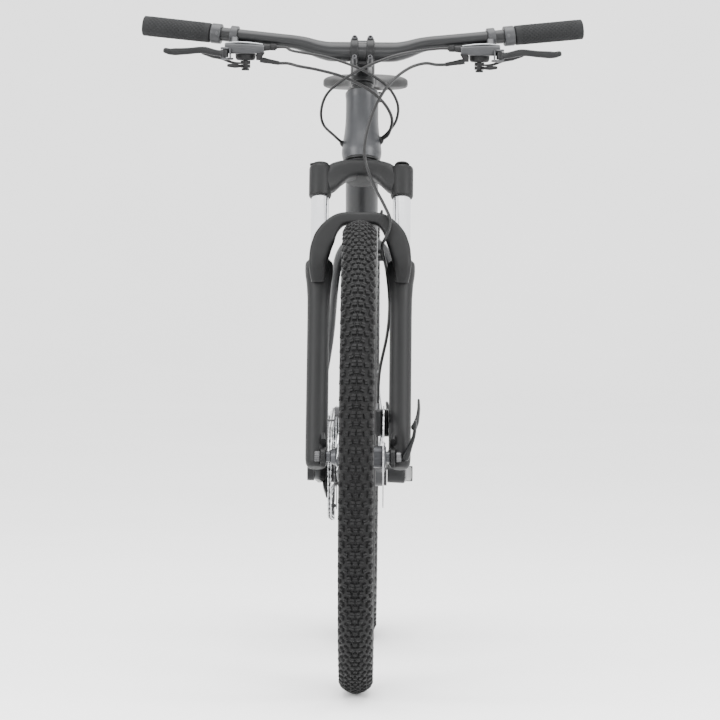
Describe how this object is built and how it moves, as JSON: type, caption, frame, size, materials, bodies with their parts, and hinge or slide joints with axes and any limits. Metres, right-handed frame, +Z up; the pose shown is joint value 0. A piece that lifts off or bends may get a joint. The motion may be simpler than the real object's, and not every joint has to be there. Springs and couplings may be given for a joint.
{
  "type": "mountain bike",
  "caption": "Hardtail mountain bike with a suspension fork, disc brakes, flat bar, front and rear derailleurs and quick-release wheels; steering, fork, wheels, drivetrain and levers move.",
  "frame": {"origin": "on the ground, in the bike's middle plane, midway between the axles", "axes": "-Y is the way the bike faces, +X is the bike's left, the side of the brake discs, +Z is up"},
  "size_m": [0.7166, 1.86, 1.0645],
  "materials": {
    "frame_paint": "satin anthracite paint",
    "fork_paint": "matte black paint",
    "chrome": "polished",
    "silver": "satin silver",
    "hub_silver": "satin silver",
    "black_alloy": "satin black",
    "steel": "satin",
    "tyre_rubber": "matte",
    "grip_rubber": "matte",
    "black_plastic": "matte",
    "grey_cover": "satin grey",
    "cable_skin": "smooth black",
    "saddle_cover": "matte"
  },
  "bodies": {
    "frame": {"frame": "frame_paint", "headset_cup_lower": "black_alloy", "headset_cup_upper": "black_alloy", "bottom_bracket": "black_alloy", "seat_collar": "black_alloy", "rear_brake_caliper": "black_alloy", "rear_brake_hose_tail": "cable_skin", "rear_shift_cable_tail": "cable_skin", "rear_skewer": "steel", "rear_derailleur": "black_alloy", "chain": "silver"},
    "seatpost": {"seatpost": "black_alloy", "saddle_rails": "steel", "saddle": "saddle_cover"},
    "seat_lever": {"seat_quick_release_lever": "black_alloy"},
    "steering": {"crown_steerer": "fork_paint", "stanchion_left": "chrome", "stanchion_right": "chrome", "stem": "black_alloy", "stem_faceplate": "black_alloy", "top_cap": "black_alloy", "handlebar": "black_alloy", "grip_left": "grip_rubber", "grip_right": "grip_rubber", "lever_body_left": "grey_cover", "lever_body_right": "grey_cover", "rear_brake_hose": "cable_skin", "rear_shift_cable": "cable_skin", "front_shift_cable": "cable_skin", "front_brake_hose": "cable_skin"},
    "preload_knob": {"preload_knob": "black_plastic"},
    "lockout_lever": {"lockout_lever": "black_plastic"},
    "brake_lever_left": {"brake_lever_left": "black_alloy"},
    "brake_lever_right": {"brake_lever_right": "black_alloy"},
    "thumb_paddle_left": {"thumb_paddle_left": "black_plastic"},
    "thumb_paddle_right": {"thumb_paddle_right": "black_plastic"},
    "release_trigger_left": {"release_trigger_left": "black_plastic"},
    "release_trigger_right": {"release_trigger_right": "black_plastic"},
    "fork_lowers": {"fork_lowers": "fork_paint", "front_brake_caliper": "black_alloy", "front_skewer": "steel"},
    "front_lever": {"front_quick_release_lever": "black_alloy"},
    "front_wheel": {"front_hub_and_spokes": "hub_silver", "front_rim": "black_alloy", "front_tyre": "tyre_rubber", "front_brake_disc": "steel"},
    "rear_wheel": {"rear_hub_and_spokes": "hub_silver", "rear_rim": "black_alloy", "rear_tyre": "tyre_rubber", "rear_brake_disc": "steel"},
    "rear_lever": {"rear_quick_release_lever": "black_alloy"},
    "cassette": {"cassette": "silver"},
    "cranks": {"crank_right": "black_alloy", "chainrings": "steel", "crank_left": "black_alloy"},
    "front_derailleur": {"front_derailleur": "steel"},
    "derailleur_cage": {"rear_derailleur_cage": "steel"},
    "guide_pulley": {"guide_pulley": "black_plastic"},
    "tension_pulley": {"tension_pulley": "black_plastic"}
  },
  "joints": [
    {"name": "steering", "type": "hinge", "parent": "frame", "child": "steering", "pos_m": [0, -0.33904, 0.82963], "axis": [0, 0.3502, 0.9367], "range_deg": [-60, 60], "deforming": ["rear_brake_hose", "rear_shift_cable", "front_shift_cable"]},
    {"name": "fork_travel", "type": "slide", "parent": "steering", "child": "fork_lowers", "axis": [0, 0.3502, 0.9367], "range_m": [0, 0.1], "stiffness_N_per_m": 6000, "springref_m": -0.015, "deforming": ["front_brake_hose"]},
    {"name": "front_wheel_spin", "type": "hinge", "parent": "fork_lowers", "child": "front_wheel", "pos_m": [0, -0.56, 0.37], "axis": [1, 0, 0], "continuous": true},
    {"name": "rear_wheel_spin", "type": "hinge", "parent": "frame", "child": "rear_wheel", "pos_m": [0, 0.56, 0.37], "axis": [1, 0, 0], "continuous": true},
    {"name": "crank_spin", "type": "hinge", "parent": "frame", "child": "cranks", "pos_m": [0, 0.12411, 0.31], "axis": [1, 0, 0], "continuous": true, "deforming": ["chain"]},
    {"name": "cassette_spin", "type": "hinge", "parent": "frame", "child": "cassette", "pos_m": [0, 0.56, 0.37], "axis": [1, 0, 0], "continuous": true},
    {"name": "preload_turn", "type": "hinge", "parent": "steering", "child": "preload_knob", "pos_m": [0.065, -0.37143, 0.82295], "axis": [0, 0.3502, 0.9367], "range_deg": [0, 330]},
    {"name": "lockout_turn", "type": "hinge", "parent": "steering", "child": "lockout_lever", "pos_m": [-0.065, -0.37143, 0.82295], "axis": [0, 0.3502, 0.9367], "range_deg": [0, 90]},
    {"name": "brake_lever_left", "type": "hinge", "parent": "steering", "child": "brake_lever_left", "pos_m": [0.22, -0.36418, 1.00221], "axis": [0, 0, 1], "range_deg": [0, 20], "stiffness_Nm_per_rad": 0.6, "springref_deg": -20.05},
    {"name": "shift_paddle_left", "type": "hinge", "parent": "steering", "child": "thumb_paddle_left", "pos_m": [0.187, -0.33718, 1.00321], "axis": [0, 0, -1], "range_deg": [0, 15], "stiffness_Nm_per_rad": 0.4, "springref_deg": -17.19},
    {"name": "shift_trigger_left", "type": "hinge", "parent": "steering", "child": "release_trigger_left", "pos_m": [0.187, -0.33718, 1.00321], "axis": [0, 0, 1], "range_deg": [0, 12], "stiffness_Nm_per_rad": 0.4, "springref_deg": -17.19},
    {"name": "brake_lever_right", "type": "hinge", "parent": "steering", "child": "brake_lever_right", "pos_m": [-0.22, -0.36418, 1.00221], "axis": [0, 0, -1], "range_deg": [0, 20], "stiffness_Nm_per_rad": 0.6, "springref_deg": -20.05},
    {"name": "shift_paddle_right", "type": "hinge", "parent": "steering", "child": "thumb_paddle_right", "pos_m": [-0.187, -0.33718, 1.00321], "axis": [0, 0, 1], "range_deg": [0, 15], "stiffness_Nm_per_rad": 0.4, "springref_deg": -17.19},
    {"name": "shift_trigger_right", "type": "hinge", "parent": "steering", "child": "release_trigger_right", "pos_m": [-0.187, -0.33718, 1.00321], "axis": [0, 0, -1], "range_deg": [0, 12], "stiffness_Nm_per_rad": 0.4, "springref_deg": -17.19},
    {"name": "front_quick_release", "type": "hinge", "parent": "fork_lowers", "child": "front_lever", "pos_m": [0.0741, -0.56, 0.37], "axis": [0, 1, 0], "range_deg": [0, 110]},
    {"name": "rear_quick_release", "type": "hinge", "parent": "frame", "child": "rear_lever", "pos_m": [0.0902, 0.56, 0.37], "axis": [0, 1, 0], "range_deg": [0, 125]},
    {"name": "seat_quick_release", "type": "hinge", "parent": "frame", "child": "seat_lever", "pos_m": [0.016, 0.2777, 0.73696], "axis": [0, 0.284, 0.9588], "range_deg": [0, 90]},
    {"name": "seatpost_height", "type": "slide", "parent": "frame", "child": "seatpost", "axis": [0, 0.284, 0.9588], "range_m": [-0.1, 0.04]},
    {"name": "front_derailleur_shift", "type": "slide", "parent": "frame", "child": "front_derailleur", "axis": [1, 0, 0], "range_m": [0, 0.0075], "deforming": ["chain"]},
    {"name": "derailleur_cage_swing", "type": "hinge", "parent": "frame", "child": "derailleur_cage", "pos_m": [-0.0524, 0.57, 0.302], "axis": [1, 0, 0], "range_deg": [-45, 20], "stiffness_Nm_per_rad": 1.5, "deforming": ["chain"]},
    {"name": "guide_pulley_spin", "type": "hinge", "parent": "derailleur_cage", "child": "guide_pulley", "pos_m": [-0.0524, 0.57, 0.302], "axis": [1, 0, 0], "continuous": true},
    {"name": "tension_pulley_spin", "type": "hinge", "parent": "derailleur_cage", "child": "tension_pulley", "pos_m": [-0.0524, 0.552, 0.23], "axis": [1, 0, 0], "continuous": true}
  ],
  "couplings": [
    {"joint": "cassette_spin", "follows": "crank_spin", "ratio": 2.4},
    {"joint": "guide_pulley_spin", "follows": "crank_spin", "ratio": -3.2727},
    {"joint": "tension_pulley_spin", "follows": "crank_spin", "ratio": 3.2727}
  ]
}
